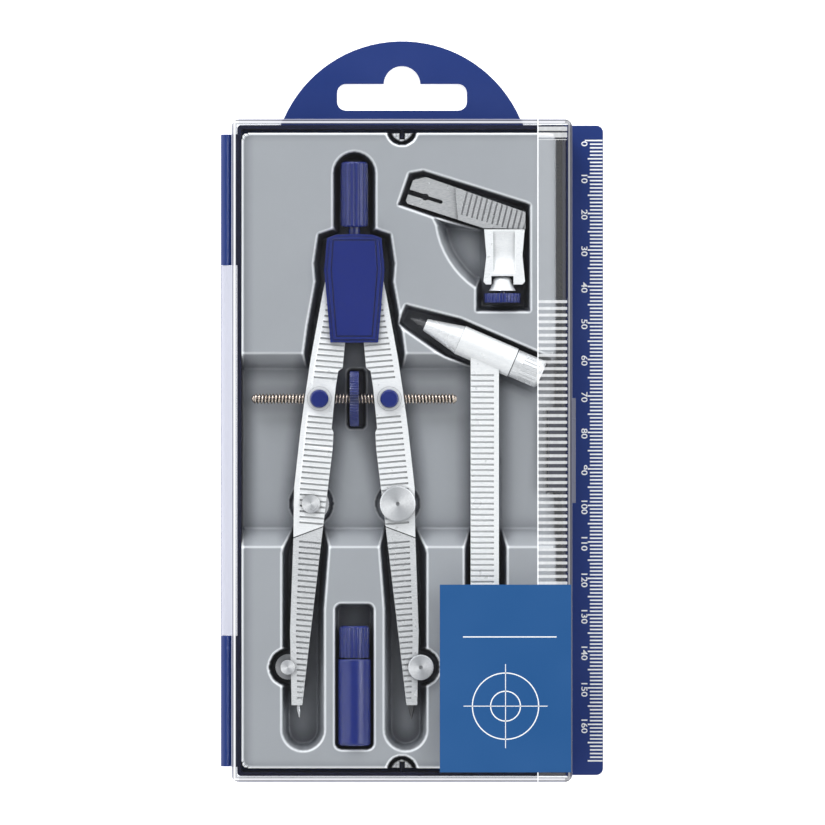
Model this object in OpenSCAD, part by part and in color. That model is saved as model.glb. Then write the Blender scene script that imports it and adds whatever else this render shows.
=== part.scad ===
// Drafting instrument case: a flat box with a clear hinged lid, a ruler flange and a hang tab.
// Its moulded tray holds a centre-wheel compass, an extension bar, a pen adapter and a lead box.
// X is across the case, Y runs from its foot to its hang tab, and Z is up from the table.

/* [Case] */
// Width across the lid
case_w = 92.6; // [92:0.1:93.4]
// Length along the lid
case_l = 180.2; // [180:0.1:182]
// Height of the closed case
case_h = 21; // [21:0.1:22]
// Wall thickness of the lid's sides
lid_wall = 1.3; // [1.1:0.05:1.4]
// Thickness of the lid's top
lid_top = 1.5; // [1.2:0.05:1.6]
// Wall thickness of the base
base_wall = 1.1; // [1:0.05:1.2]
// Gap between the base wall and the lid that slides over it
lid_gap = 0.15; // [0.12:0.01:0.2]
// Thickness of the base plate, the ruler flange and the hang tab
plate_t = 1.6; // [1.4:0.1:1.7]
// Distance that the ruler flange stands out past the lid
flange_reach = 8.8; // [8:0.1:12]
// Length of the ruler flange
flange_l = 178; // [176:0.5:178]
// Radius of the hang tab's arched end
tab_r = 35.3; // [34:0.1:37]
// Distance that the hang tab stands out past the lid
tab_reach = 22; // [21:0.5:24]

/* [Hinge and latch] */
// Radius of the hinge barrel
barrel_r = 1.35; // [1.3:0.01:1.4]
// Radius of the lid's trunnions
trunnion_r = 0.75; // [0.6:0.01:0.8]
// Half the length of the lid's barrel, between the two base knuckles
barrel_half = 50.4; // [40:0.1:60]
// Outer end of each base knuckle, from the middle of the case
knuckle_end = 86.2; // [80:0.1:87]
// Half the length of the lid's thumb tab
thumb_half = 14.3; // [12:0.1:16]

/* [Tray] */
// Height of the tray's upper level
tray_z = 14; // [14:0.1:14.2]
// Height of the trough that crosses the tray
trough_z = 7; // [6.8:0.1:7]
// Height of the floor of the leg channels and the screw wells
channel_z = 5.8; // [5.6:0.1:5.8]
// Thickness of the tray over its underside cells
skin = 1; // [0.8:0.05:1.2]
// How far a recess narrows from its lip to its floor, on each side
draft = 1.6; // [1.2:0.1:1.8]

/* [Instruments] */
// Height of the middle plane of every instrument
mid_z = 11.5; // [11.4:0.05:11.55]
// Thickness of the compass legs and the extension bar
leg_t = 5; // [4.6:0.1:5]
// Radius of the threaded spindle
spindle_r = 1.45; // [1.3:0.01:1.45]
// Length of the threaded spindle
spindle_l = 55.8; // [52:0.1:56]
// Radius of the centre wheel
wheel_r = 7.5; // [7:0.05:7.6]
// Radius of the lead box
box_r = 4.5; // [4.2:0.05:4.5]
// Spacing of the grip ribs on the legs and the extension bar
rib_pitch = 1.52; // [1.3:0.02:1.8]
// Width of the grooves between the grip ribs
groove_w = 0.5; // [0.3:0.05:0.7]
// Depth of the grooves between the grip ribs
rib_depth = 0.4; // [0.2:0.05:0.5]
// Running clearance of a shaft in its hole
run_gap = 0.05; // [0.03:0.01:0.08]

/* [Hidden] */
$fn = 48;
over = 1;              // how far a cutter runs past the face it cuts
navy = [0.10, 0.14, 0.42];
compass_blue = [0.16, 0.18, 0.52];
tray_grey = [0.67, 0.69, 0.72];
nickel = [0.86, 0.87, 0.88];
steel = [0.72, 0.72, 0.74];
graphite = [0.25, 0.25, 0.27];

half_w = case_w / 2;
half_l = case_l / 2;
wall_x = half_w - lid_wall - lid_gap;      // outer face of the base wall
wall_y = half_l - lid_wall - lid_gap;
wall_z = 12;                               // top of the base wall
lid_z = case_h - lid_top;                  // underside of the lid's top
skirt_z = 7;                               // bottom of the lid's front, right and back sides
hinge_x = -half_w - 1.8;
hinge_z = case_h / 2;                      // at half height, so the open lid lies flat on the table
corner_r = 2.2;                            // outer corner of the lid
flange_x = half_w + flange_reach;
tab_y = half_l + tab_reach - tab_r;        // centre of the hang tab's arc
tray_left = -wall_x + base_wall + 0.1;
tray_right = 42;
tray_half = 86.5;
tray_foot = plate_t + 0.1;
catch_half = 11.3;
ax = -12.95;                               // the compass's axis of symmetry
pivot = [3.7, 50];                         // leg pivot, from the compass axis
nut = [9.55, 14.1];                        // nut block, from the compass axis
knee = [11.8, -14.5];                      // knee screw, from the compass axis
tip = [18.1, -59];                         // tip screw, from the compass axis
leg_lean = 5;                              // angle of the legs' ribs
rib_band = 1.6;                            // smooth band outside the legs' ribs
handle_r = 3.7;
nut_r = 3.2;
stem_r = 2.25;                             // bore of the nut block
button_press = 0.6;
nut_low = -4;                              // underside of the nut block, from the middle plane
nut_floor = nut_low + 0.6;
spring_top = -2.3;
beam_at = [15.8, 30.2];                    // where the extension bar's nose meets its barrel
beam_turn = -23.4;
beam_r = 4.1;
lead_r = 1;
adapter_x = 27.35;                         // axis of the adapter's knob
box_foot = -80.4;
box_split = -56.4;
box_top = -47.8;
cap_travel = 5;

// Unit vector along v
function unit(v) = v / norm(v);
// Points along an arc about c
function arc(c, r, from, to, n) =
    [for (i = [0:n]) let(a = from + (to - from) * i / n) c + r * [cos(a), sin(a)]];
// A counter-clockwise outline with each side moved outward by d
function grown(pts, d) = let(n = len(pts)) [for (i = [0:n - 1])
    let(u = unit(pts[i] - pts[(i + n - 1) % n]), v = unit(pts[(i + 1) % n] - pts[i]),
        a = [u[1], -u[0]], b = [v[1], -v[0]])
    pts[i] + d * (a + b) / (1 + a * b)];
// A rectangle from (x0, y0) to (x1, y1) with rounded corners
function rounded(x0, y0, x1, y1, r) = concat(
    arc([x1 - r, y0 + r], r, -90, 0, 5), arc([x1 - r, y1 - r], r, 0, 90, 5),
    arc([x0 + r, y1 - r], r, 90, 180, 5), arc([x0 + r, y0 + r], r, 180, 270, 5));
// The X of an edge at a height y, from the edge's points
function edge_x(edge, y) = lookup(y, [for (p = edge) [p[1], p[0]]]);

// Prism between two heights
module slab(pts, z0, z1) {
    translate([0, 0, z0]) linear_extrude(z1 - z0) polygon(pts);
}

// Cylinder along Z between two heights
module post(at, r, z0, z1) {
    translate([at[0], at[1], z0]) cylinder(r = r, h = z1 - z0);
}

// Cutter for a recess: its sides lean in by run, from the outline at the tray's top to the floor
module recess(outline, floor_z, run) {
    n = len(outline);
    low = grown(outline, -run);
    high = grown(outline, over * run / (tray_z - floor_z));
    polyhedron(
        points = concat([for (p = low) [p[0], p[1], floor_z]],
            [for (p = high) [p[0], p[1], tray_z + over]]),
        faces = concat([[for (i = [0:n - 1]) i], [for (i = [n - 1:-1:0]) n + i]],
            [for (i = [0:n - 1]) [i, n + i, n + (i + 1) % n, (i + 1) % n]]));
}

// Round pin between two points, with a cone from r0 to r1
module rod(from, to, z, r0, r1) {
    d = to - from;
    translate([from[0], from[1], z]) rotate([0, 0, atan2(d[1], d[0])]) rotate([0, 90, 0])
        cylinder(r1 = r0, r2 = r1, h = norm(d));
}

// Rod from one end to a shoulder, with a cone from there to its point
module pointed_rod(end, shoulder, point, r) {
    length = norm(shoulder - end);
    reach = norm(point - shoulder);
    d = point - end;
    translate([end[0], end[1], 0]) rotate([0, 0, atan2(d[1], d[0])]) rotate([0, 90, 0])
        rotate_extrude() polygon([[0, 0], [r, 0], [r, length], [0.1, length + reach], [0, length + reach]]);
}

// Open coil spring
module coil(at, r, wire, z0, z1, turns) {
    steps = turns * 16;
    sides = 6;
    points = [for (i = [0:steps]) let(a = 360 * i / 16, z = z0 + wire + (z1 - z0 - 2 * wire) * i / steps)
        for (j = [0:sides - 1]) let(b = 360 * j / sides, q = r + wire * cos(b))
        [at[0] + q * cos(a), at[1] + q * sin(a), z + wire * sin(b)]];
    polyhedron(points = points, faces = concat(
        [[for (j = [0:sides - 1]) j], [for (j = [sides - 1:-1:0]) steps * sides + j]],
        [for (i = [0:steps - 1], j = [0:sides - 1]) let(k = (j + 1) % sides)
            [i * sides + j, (i + 1) * sides + j, (i + 1) * sides + k, i * sides + k]]));
}

// ---- Case ----

module base_shell() {
    color(navy) difference() {
        union() {
            slab(rounded(-wall_x, -wall_y, wall_x, wall_y, 1), 0, wall_z);
            slab(rounded(wall_x - 8, -flange_l / 2, flange_x, flange_l / 2, 1.8), 0, plate_t);
            hang_tab();
            for (side = [-1, 1]) hinge_knuckle(side);
        }
        difference() {
            slab(rounded(-wall_x + base_wall, -wall_y + base_wall, wall_x - base_wall,
                wall_y - base_wall, 0.6), plate_t, wall_z + over);
            catch_block();
            for (side = [-1, 1]) key_rib(side);
        }
        hang_slot();
        for (side = [-1, 1]) trunnion_bore(side);
    }
}

// Half-round tab that hangs the case on a hook
module hang_tab() {
    intersection() {
        post([0, tab_y], tab_r, 0, plate_t);
        translate([-tab_r, wall_y - 2, -over]) cube([2 * tab_r, tab_r, plate_t + 2 * over]);
    }
}

// Wide slot with a round middle, for a hook or a peg
module hang_slot() {
    slab(rounded(-17.8, half_l + 3, 17.8, half_l + 10.3, 2.4), -over, plate_t + over);
    post([0, half_l + 10.2], 5, -over, plate_t + over);
}

// Long knuckle, joined to the base wall by a web that passes under the lid's edge
module hinge_knuckle(side) {
    from = side > 0 ? barrel_half + 0.1 : -knuckle_end;
    length = knuckle_end - barrel_half - 0.1;
    translate([hinge_x, from, hinge_z]) rotate([-90, 0, 0]) cylinder(r = barrel_r, h = length);
    translate([hinge_x, from, hinge_z - barrel_r + 0.2])
        cube([-wall_x - hinge_x + 0.5, length, barrel_r - 0.5]);
}

module trunnion_bore(side) {
    translate([hinge_x, side * barrel_half, hinge_z]) rotate([-90 * side, 0, 0])
        cylinder(r = trunnion_r + run_gap, h = 2.4);
}

// Thickened wall behind the lid's thumb tab
module catch_block() {
    translate([tray_right - 2, -catch_half + 0.3, plate_t])
        cube([wall_x - tray_right + 1.5, 2 * catch_half - 0.6, wall_z - plate_t]);
}

// Rib at each end that locates the tray
module key_rib(side) {
    translate([-0.4, side > 0 ? tray_half - 1.4 : -tray_half - 2, plate_t])
        cube([0.8, 3.4, 9]);
}

// Low level across the whole tray, with sloping ends
module trough() {
    rotate([90, 0, 90]) translate([0, 0, tray_left - over])
        linear_extrude(tray_right - tray_left + 2 * over)
        polygon([[-21.3, trough_z], [22.4, trough_z], [26.4, tray_z], [27, tray_z + over],
            [-27, tray_z + over], [-26.2, tray_z]]);
}

// Recess for the compass's handle and head
module head_recess() {
    right = [[13.9, 26.4], [12.9, 34], [10.7, 46], [11.1, 51], [9.9, 59], [5.8, 60.4]];
    outline = concat([[14.4, 21]], right, arc([0, 75.6], 5.8, 0, 180, 12),
        [for (i = [5:-1:0]) [-right[i][0], right[i][1]]], [[-14.4, 21]]);
    translate([ax, 0, 0]) recess(outline, trough_z - 0.15, 1.4);
}

// Channel for a lower leg, with wells for its knee screw and its tip screw
module leg_channel(side) {
    outline = concat(arc([13.95, -76], 5.75, 180, 360, 14),
        [[19.7, -28], [17.6, -19], [6.9, -19], [6.9, -26], [8.2, -43]]);
    translate([ax, 0, 0]) mirror([side < 0 ? 1 : 0, 0, 0]) {
        recess(outline, channel_z, draft);
        post(tip, 4.9, channel_z, tray_z + over);
        post(knee, 5.85, channel_z, trough_z + over);
    }
}

// Slot in the trough for the lower half of the centre wheel
module wheel_slot() {
    slab(rounded(ax - 1.9, nut[1] - wheel_r - 0.6, ax + 3, nut[1] + wheel_r + 0.6, 1.4), 3.6, trough_z + over);
}

module lead_box_recess() {
    recess(rounded(ax - 5.2, -81.3, ax + 5.2, -41.8, 1.6), mid_z - box_r - 0.3, 0.4);
}

// Channel for the extension bar, with a slanted recess for its barrel
module beam_recess() {
    recess(rounded(17, -77, 28.6, 0, 2.4), trough_z - 0.1, draft);
    translate([beam_at[0], beam_at[1], 0]) rotate([0, 0, beam_turn])
        recess([[-2, -6], [25.2, -6], [25.2, 5.4], [-2, 5.4], [-17.4, 2.9], [-17.4, -2.9]], trough_z - 0.2, 0.8);
}

// Pocket for the adapter, with a quarter disc between its arm and its frame for a finger
module adapter_recess() {
    floor_z = mid_z - 5.1;
    recess([[20.2, 37.9], [34.9, 37.9], [34.9, 67], [33.6, 67.6], [5.8, 76.3], [1.9, 75.6],
        [-1.1, 66.9], [20.2, 59.5]], floor_z, 1.2);
    recess(concat([[26, 46], [26, 62], [8.4, 63.6]], arc([34, 64.8], 24.8, 188, 235.5, 8)),
        floor_z + 0.2, 2.3);
}

// Half-round finger notch at each end, with a ledge that the base's rib locates
module end_notch(side) {
    mirror([0, side < 0 ? 1 : 0, 0]) {
        difference() {
            post([0, tray_half + 0.7], 3.9, 8, tray_z + over);
            post([0, tray_half + 0.7], 3, 7, 11);
        }
        translate([-0.55, tray_half - 1.7, -over]) cube([1.1, 4, tray_z + 2 * over]);
    }
}

module insert_tray() {
    color(tray_grey) difference() {
        slab(rounded(tray_left, -tray_half, tray_right, tray_half, 1.6), tray_foot, tray_z);
        trough();
        head_recess();
        for (side = [-1, 1]) leg_channel(side);
        wheel_slot();
        lead_box_recess();
        beam_recess();
        adapter_recess();
        for (side = [-1, 1]) end_notch(side);
        translate([tray_right - 2.4, -catch_half, 0]) cube([4, 2 * catch_half, case_h]);
        tray_cells();
    }
}

// Open cells in the underside, which keep the walls between the recesses thin
module tray_cells() {
    upper = tray_z - skin;
    lower = trough_z - skin;
    for (cell = [[-42.6, 29.5, -29.5, 85, upper], [13, 78.5, 38.5, 85, upper],
            [-42.6, -19, -37, 20, lower], [0.5, -8, 15.5, 19, lower], [29, -19, 38.5, 19, lower],
            [-42.6, -85, -37.4, -29.5, upper], [10.6, -85, 15.6, -29.5, upper], [30.2, -85, 38.5, -29.5, upper]])
        slab([[cell[0], cell[1]], [cell[2], cell[1]], [cell[2], cell[3]], [cell[0], cell[3]]], 0, cell[4]);
}

module lid() {
    color([0.85, 0.92, 0.95, 0.3]) {
        difference() {
            union() {
                slab(rounded(-half_w, -half_l, half_w, half_l, corner_r), skirt_z, case_h);
                thumb_tab();
            }
            slab(rounded(-half_w + lid_wall, -half_l + lid_wall, half_w - lid_wall, half_l - lid_wall,
                corner_r - lid_wall), skirt_z - over, lid_z);
            translate([-half_w - over, -half_l + lid_wall, skirt_z - over])
                cube([lid_wall + 2 * over, case_l - 2 * lid_wall, hinge_z + 0.1 - skirt_z + over]);
            grip_grooves();
        }
        lid_barrel();
    }
}

// Tab on the lid's right side that a thumb lifts
module thumb_tab() {
    thumb_h = 6;
    rib_h = 0.3;                           // ribs on the tab's upper face, for the thumb
    translate([half_w - 0.5, -thumb_half, skirt_z]) cube([1.6, 2 * thumb_half, thumb_h]);
    for (y = [-8.6, 8.6])
        translate([half_w - 0.5, y - 0.35, skirt_z]) cube([1.6, 0.7, thumb_h + rib_h]);
}

// Grooves across the lid's grip band
module grip_grooves() {
    pitch = 1.82;
    for (i = [0:66])
        translate([36.8, 41 - i * pitch, case_h - 0.3]) cube([8.2, 0.75, 0.3 + over]);
    for (y = [84.6, 86.4, 88])
        translate([36.8, y, case_h - 0.3]) cube([8.2, 0.5, 0.3 + over]);
}

// Hinge barrel with a trunnion at each end
module lid_barrel() {
    translate([hinge_x, -barrel_half, hinge_z]) rotate([-90, 0, 0])
        cylinder(r = barrel_r, h = 2 * barrel_half);
    translate([hinge_x, -barrel_half - 2, hinge_z]) rotate([-90, 0, 0])
        cylinder(r = trunnion_r, h = 2 * barrel_half + 4);
    translate([hinge_x, -barrel_half, hinge_z + 0.1])
        cube([-half_w + lid_wall / 2 - hinge_x, 2 * barrel_half, barrel_r - 0.3]);
}

module lid_label() {
    color([0.10, 0.36, 0.60])
        translate([10.3, -half_l + 2.7, case_h]) cube([half_w - 10.6, 51, 0.1]);
}

// ---- Compass ----

// Places its children on the compass axis, at the middle plane; side -1 is the left half
module compass(side) {
    translate([ax, 0, mid_z]) mirror([side < 0 ? 1 : 0, 0, 0]) children();
}

module compass_handle() {
    color(compass_blue) compass(1) difference() {
        union() {
            rod([0, 56], [0, 61], 0, 1.6, 1.6);
            rod([0, 60.9], [0, 61.4], 0, handle_r - 0.5, handle_r);
            rod([0, 61.4], [0, 78.1], 0, handle_r, handle_r);
            rod([0, 78.1], [0, 78.6], 0, handle_r, handle_r - 0.5);
        }
        for (a = [0:20:340])
            rotate([0, a, 0]) translate([0, 60.5, handle_r + 0.15]) rotate([-90, 0, 0])
                cylinder(r = 0.45, h = 19, $fn = 24);
    }
}

// Fork that holds both leg pivots and the handle's stem
module head_yoke() {
    color(steel) compass(1) difference() {
        union() {
            for (z = [-3.5, 2.7])
                slab(rounded(-7, 46, 7, 57.6, 1), z, z + 0.8);
            slab([[-6, 54.2], [6, 54.2], [6, 57.6], [-6, 57.6]], -2.8, 2.8);
        }
        for (x = [-pivot[0], pivot[0]]) post([x, pivot[1]], 1.25, -4, 4);
        rod([0, 55.9], [0, 60], 0, 1.6, 1.6);
    }
}

module head_pins() {
    color(nickel) for (side = [-1, 1]) compass(side) post(pivot, 1.25, -3.5, 3.5);
}

// Outline of the head's covers
cover_right = [[6.5, 29.4], [8.2, 49.3], [7.4, 57.8], [5, 58.7], [0, 59]];
cover_outline = concat(cover_right, [for (i = [3:-1:0]) [-cover_right[i][0], cover_right[i][1]]]);
panel_outline = [[4.7, 31.3], [6.1, 49.3], [5.6, 57.1], [-5.6, 57.1], [-6.1, 49.3], [-4.7, 31.3]];

// One cover of the head: a plate with a raised panel, and a rim around the yoke
module head_cover(top) {
    difference() {
        union() {
            slab(cover_outline, 2.7, top - 0.5);
            slab(grown(cover_outline, -0.9), 2.7, top);
        }
        slab([[-7.1, 45.9], [7.1, 45.9], [7.1, 57.7], [-7.1, 57.7]], 2.6, 3.55);
        difference() {
            slab(grown(panel_outline, 0.35), top - 0.3, top + over);
            slab(panel_outline, top - 0.4, top + 2 * over);
        }
    }
    difference() {
        intersection() {
            slab(cover_outline, 0.02, 2.8);
            slab([[-9, 55], [9, 55], [9, 60], [-9, 60]], 0.02, 2.8);
        }
        slab([[-6.1, 54], [6.1, 54], [6.1, 57.7], [-6.1, 57.7]], -over, 4);
        slab([[-7.1, 54], [7.1, 54], [7.1, 57.7], [-7.1, 57.7]], 2.6, 3.55);
        rod([0, 54], [0, 60], 0, 1.65, 1.65);
    }
}

module head_cover_front() {
    color(compass_blue) compass(1) head_cover(4.6);
}

module head_cover_back() {
    color(compass_blue) compass(1) mirror([0, 0, 1]) head_cover(4.3);
}

// Edges of the right leg, from the compass axis
leg_outer = [[16.6, -23.6], [16.4, -10.1], [14.6, 6.1], [13.3, 15.5], [11.9, 24.9], [8.6, 42.9], [7, 50.2]];
leg_inner = [[0.8, 48.2], [2.6, 29], [3.2, 22.5], [4.4, 21.6], [5.1, 17.2], [5.8, 10.1], [6.2, 6.1],
    [5.7, 4.9], [5.95, 0.25], [7.1, -9.1], [8.5, -20.6]];

// Upper leg with its toothed eye, its nut hole and the socket for the lower leg.
// The right leg's teeth are half a tooth off the left leg's, so the two mesh.
module upper_leg(phase) {
    teeth = 20;
    difference() {
        union() {
            slab(concat(leg_outer, leg_inner), -leg_t / 2, leg_t / 2);
            post(pivot, 3.25, -leg_t / 2, leg_t / 2);
            post(nut, 3.9, -leg_t / 2, leg_t / 2);
            for (i = [-2:2])
                translate([pivot[0], pivot[1], 0]) rotate([0, 0, 180 + (i + phase) * 360 / teeth])
                    translate([3, -0.22, -leg_t / 2]) cube([0.95, 0.44, leg_t]);
        }
        post(pivot, 1.25 + run_gap, -leg_t, leg_t);
        post(nut, nut_r + run_gap, -leg_t, leg_t);
        post(knee, 1.2 + run_gap, -leg_t, leg_t);
        translate([0, nut[1] - 1.8, -1.8]) cube([20, 3.6, 3.6]);
        slab([[8, -30], [15.5, -30], [15.5, -6], [8.8, -6]], -1.2, 1.2);
        for (i = [0:43]) let(y = 45.6 - i * rib_pitch) if (abs(y - nut[1]) > 4.6)
            rib_groove(leg_outer, y);
    }
}

// Groove across a leg's front face, which stops short of the leg's outer edge
module rib_groove(edge, y) {
    length = 16;
    translate([edge_x(edge, y) - rib_band, y, leg_t / 2 - rib_depth]) rotate([0, 0, leg_lean])
        translate([-length, 0, 0]) cube([length, groove_w, rib_depth + over]);
}

module left_upper_leg() {
    color(nickel) compass(-1) upper_leg(0);
}

module right_upper_leg() {
    color(nickel) compass(1) upper_leg(0.5);
}

lower_outer = [[17.1, -69.3], [17.5, -49.2], [16.6, -23.9]];

// Lower leg: a tongue held in the socket, a tapered bar, and a slit clamp at the tip
module lower_leg(bore_from, bore_to, bore_r) {
    difference() {
        union() {
            slab(concat([[14.2, -69.3]], lower_outer, [[8.55, -20.9], [11.9, -49.2]]),
                -leg_t / 2, leg_t / 2);
            slab([[9.6, -24], [15.3, -24], [15.1, -7], [9, -7]], -1.15, 1.15);
            post(tip, 2, -leg_t / 2, leg_t / 2);
        }
        post(knee, 1.2 + run_gap, -leg_t, leg_t);
        post(tip, 0.7 + run_gap, -leg_t, leg_t);
        rod(bore_from, bore_to, 0, bore_r, bore_r);
        slab([[15.9, -70], [20.2, -70], [20.2, -55], [16.3, -55]], -0.2, 0.2);
        for (i = [0:28])
            rib_groove(lower_outer, -25 - i * rib_pitch);
    }
}

needle_foot = [15.35, -69.3];
needle_axis = [-sin(6), -cos(6)];
lead_foot = [15.65, -69.3];
lead_axis = [-sin(3), -cos(3)];

module left_lower_leg() {
    color(nickel) compass(-1)
        lower_leg(needle_foot + needle_axis, needle_foot - 15 * needle_axis, 0.5 + run_gap);
}

module right_lower_leg() {
    color(nickel) compass(1)
        lower_leg(lead_foot + lead_axis, lead_foot - 14.5 * lead_axis, lead_r - 0.1 + run_gap);
}

module needle_point() {
    color(steel) compass(-1) {
        pointed_rod(needle_foot - 13 * needle_axis, needle_foot + 1.6 * needle_axis,
            needle_foot + 3.6 * needle_axis, 0.5);
    }
}

module compass_lead() {
    color(graphite) compass(1) {
        pointed_rod(lead_foot - 13 * lead_axis, lead_foot + 1.2 * lead_axis,
            lead_foot + 4 * lead_axis, lead_r - 0.1);
    }
}

// Swivelling block that carries the spindle's thread and the quick-release button
module nut_block() {
    difference() {
        post(nut, nut_r, nut_low, leg_t / 2 + 0.2);
        post(nut, stem_r, nut_floor, leg_t);
        spindle_hole();
    }
}

module spindle_hole() {
    rod([nut[0] - 5, nut[1]], [nut[0] + 5, nut[1]], 0, spindle_r + 0.09, spindle_r + 0.09);
}

module left_nut_block() {
    color(nickel) compass(-1) nut_block();
}

module right_nut_block() {
    color(nickel) compass(1) nut_block();
}

// Quick-release button, whose stem straddles the spindle
module button() {
    difference() {
        union() {
            post(nut, stem_r - run_gap, spring_top, 3.5);
            post(nut, 2.5, 3.4, 4.3);
            translate([nut[0], nut[1], 4.3]) cylinder(r1 = 2.5, r2 = 2.1, h = 0.4);
        }
        translate([nut[0] - 4, nut[1] - spindle_r - 0.12, -spindle_r - 0.1])
            cube([8, 2 * spindle_r + 0.24, 2 * spindle_r + 0.2 + button_press]);
    }
}

module left_button() {
    color(compass_blue) compass(-1) button();
}

module right_button() {
    color(compass_blue) compass(1) button();
}

module left_button_spring() {
    color(steel) compass(-1) coil(nut, 1.6, 0.12, nut_floor + 0.02, spring_top - 0.02, 2);
}

module right_button_spring() {
    color(steel) compass(1) coil(nut, 1.6, 0.12, nut_floor + 0.02, spring_top - 0.02, 2);
}

module spindle() {
    color([0.66, 0.58, 0.50]) compass(1) {
        rod([-spindle_l / 2 + 0.6, nut[1]], [spindle_l / 2 - 0.6, nut[1]], 0, spindle_r, spindle_r);
        for (side = [-1, 1])
            rod([side * (spindle_l / 2 - 0.6), nut[1]], [side * spindle_l / 2, nut[1]], 0,
                spindle_r, spindle_r - 0.5);
    }
}

module centre_wheel() {
    notches = 60;
    notch_depth = 0.25;
    color(compass_blue) compass(1) difference() {
        rod([-1.2, nut[1]], [1.2, nut[1]], 0, wheel_r, wheel_r);
        rod([-2, nut[1]], [2, nut[1]], 0, spindle_r, spindle_r);
        for (i = [0:notches - 1])
            translate([0, nut[1], 0]) rotate([i * 360 / notches, 0, 0])
                translate([-1.3, 0, wheel_r - notch_depth]) rotate([45, 0, 0]) cube([2.6, 0.42, 0.42]);
    }
}

// Thumb screw: a knurled head on one side of the leg and a riveted end on the other
module thumb_screw(at, head_r, end_r, shank_r) {
    difference() {
        union() {
            post(at, head_r, 2.6, 4.5);
            translate([at[0], at[1], 4.5]) cylinder(r1 = head_r, r2 = head_r - 0.3, h = 0.3);
            post(at, shank_r, -2.7, 2.7);
            post(at, end_r, -3.3, -2.6);
        }
        post(at, 0.55, 4.1, 5);
        for (a = [0:12:348])
            translate([at[0], at[1], 0]) rotate([0, 0, a])
                translate([head_r + 0.1, 0, 2]) rotate([0, 0, 45]) cube([0.3, 0.3, 4]);
    }
}

module left_knee_screw() {
    color(nickel) compass(-1) mirror([0, 0, 1]) thumb_screw(knee, 4.85, 2.5, 1.2);
}

module right_knee_screw() {
    color(nickel) compass(1) thumb_screw(knee, 4.85, 2.5, 1.2);
}

module left_tip_screw() {
    color(nickel) compass(-1) mirror([0, 0, 1]) thumb_screw(tip, 3.46, 2, 0.7);
}

module right_tip_screw() {
    color(nickel) compass(1) thumb_screw(tip, 3.46, 2, 0.7);
}

// ---- Extension bar ----

// Places its children along the extension bar's barrel, with +X towards its knob
module beam_line() {
    translate([beam_at[0], beam_at[1], mid_z]) rotate([0, 0, beam_turn]) children();
}

module beam_bar() {
    color(nickel) difference() {
        union() {
            translate([0, 0, mid_z]) slab([[18.7, -74], [26.4, -74], [26.4, 26], [18.7, 28]],
                -leg_t / 2, leg_t / 2);
            beam_line() rod([0, 0], [15.8, 0], 0, beam_r, beam_r);
        }
        beam_line() rod([-1, 0], [17, 0], 0, 1.6, 1.6);
        for (i = [0:60])
            translate([17, 20.2 - i * rib_pitch, mid_z + leg_t / 2 - rib_depth])
                cube([8, groove_w, rib_depth + over]);
    }
}

module beam_nose() {
    color(nickel) beam_line() difference() {
        rod([-10.3, 0], [0, 0], 0, 1.7, beam_r - 0.1);
        rod([-11, 0], [1, 0], 0, 1.3, 1.3);
    }
}

// Split sleeve that the knob draws back to grip the lead
module beam_collet() {
    color(steel) beam_line() difference() {
        rod([-10, 0], [13, 0], 0, 1.3, 1.3);
        rod([-11, 0], [14, 0], 0, lead_r + run_gap, lead_r + run_gap);
        translate([-10.5, -2, -0.15]) cube([6, 4, 0.3]);
        translate([-10.5, -0.15, -2]) cube([6, 0.3, 4]);
    }
}

module beam_knob() {
    color(nickel) beam_line() difference() {
        union() {
            rod([13.4, 0], [16.1, 0], 0, 1.55, 1.55);
            rod([16, 0], [23.5, 0], 0, beam_r - 0.2, beam_r - 0.2);
            rod([23.5, 0], [24.2, 0], 0, beam_r - 0.2, beam_r - 0.8);
        }
        for (a = [0:15:345])
            rotate([a, 0, 0]) translate([18.4, -0.2, beam_r - 0.35]) rotate([45, 0, 0]) cube([4.6, 0.36, 0.36]);
    }
}

module beam_lead() {
    color(graphite) beam_line() pointed_rod([10, 0], [-12, 0], [-14.6, 0], lead_r);
}

// ---- Adapter ----

// Places its children at the adapter's grip, with +X towards the clamp
module adapter_line() {
    translate([2, 70.4, mid_z]) rotate([0, 0, -17.5]) children();
}

module adapter_arm() {
    color(nickel) difference() {
        union() {
            translate([0, 0, mid_z]) slab([[3, 73.6], [1.1, 68.1], [1.5, 67.25], [15.6, 62.8], [16.6, 71],
                [6.5, 74.5]], -1.15, 1.15);
            translate([0, 0, mid_z]) slab([[14.6, 71.6], [15.3, 62.8], [22.5, 60.5], [33.6, 60.3],
                [33.6, 64.9]], -leg_t / 2, leg_t / 2);
        }
        adapter_line() {
            translate([-2, -0.7, -3]) cube([7, 1.4, 6]);
            translate([4, -0.5, -3]) cube([5, 1, 6]);
            post([9, 0], 0.5, -3, 3);
            post([4.6, 0], 0.95, -3, 3);
        }
        for (i = [0:12])
            translate([16 + i * 1.38, 64.3 - i * 0.42, mid_z + leg_t / 2 - rib_depth]) rotate([0, 0, -14])
                cube([groove_w, 12, rib_depth + over]);
    }
}

// Clamp frame: two rails with a scooped saddle between them
module adapter_frame() {
    scoop_r = 8.2;
    color(nickel) translate([0, 0, mid_z]) difference() {
        slab([[22.4, 60.2], [23, 53], [22.2, 46], [22.9, 45.2], [32.8, 45.2], [33.5, 46], [32.8, 53],
            [33.4, 60.2]], -3, 3);
        translate([24.8, 54, 0.7 + scoop_r]) rotate([0, 90, 0]) cylinder(r = scoop_r, h = 6);
        rod([adapter_x, 44], [adapter_x, 49.8], 0, 1.1, 1.1);
        translate([adapter_x - 3, 44, -4]) cube([6, 3.5, 8]);
    }
}

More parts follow.
